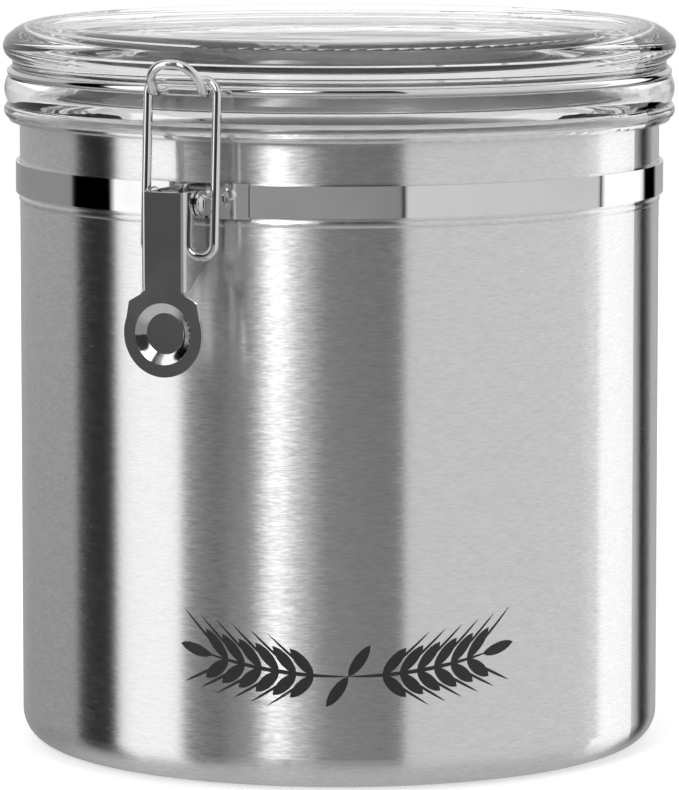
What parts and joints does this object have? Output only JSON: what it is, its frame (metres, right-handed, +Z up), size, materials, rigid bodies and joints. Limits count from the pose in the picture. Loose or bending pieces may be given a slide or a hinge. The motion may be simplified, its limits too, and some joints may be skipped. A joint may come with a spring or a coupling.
{
  "type": "food canister",
  "caption": "Round brushed steel food canister with a clear clamp lid on a rear wire hinge, a silicone gasket and an over-centre wire bail latch on a polished band.",
  "frame": {"origin": "centre of the base, on the can's axis, at the height of the surface that it stands on", "axes": "+Z up along the can's axis, -Y towards the latch, +Y towards the hinge, +X to the right of someone who faces the latch"},
  "size_m": [0.187, 0.2059, 0.201],
  "materials": {
    "brushed_body": "stainless steel with fine brush lines that run round the can",
    "polished_band": "mirror-polished steel strip",
    "plated_steel": "bright nickel plate on steel",
    "clear_acrylic": "clear moulded acrylic, glossy",
    "silicone": "translucent white silicone"
  },
  "bodies": {
    "canister": {"canister_body": "brushed_body", "clamp_band": "polished_band", "latch_bracket": "plated_steel", "latch_bracket_rivets": "plated_steel", "hinge_bracket": "plated_steel", "hinge_bracket_rivets": "plated_steel", "lever_pivot_pin": "plated_steel"},
    "lid": {"lid": "clear_acrylic", "lid_gasket": "silicone", "lid_wire": "plated_steel"},
    "lever": {"latch_lever": "plated_steel"},
    "bail": {"latch_bail": "plated_steel"}
  },
  "joints": [
    {"name": "lid_hinge", "type": "hinge", "parent": "canister", "child": "lid", "pos_m": [0, 0.0956, 0.1585], "axis": [-1, 0, 0], "range_deg": [0, 105]},
    {"name": "lever_pivot", "type": "hinge", "parent": "canister", "child": "lever", "pos_m": [0, -0.0998, 0.1585], "axis": [-1, 0, 0], "range_deg": [0, 85]},
    {"name": "bail_pivot", "type": "hinge", "parent": "lever", "child": "bail", "pos_m": [0, -0.0983, 0.1443], "axis": [-1, 0, 0], "range_deg": [-64, 0]}
  ],
  "couplings": [
    {"joint": "bail_pivot", "follows": "lever_pivot", "ratio": -0.75}
  ]
}
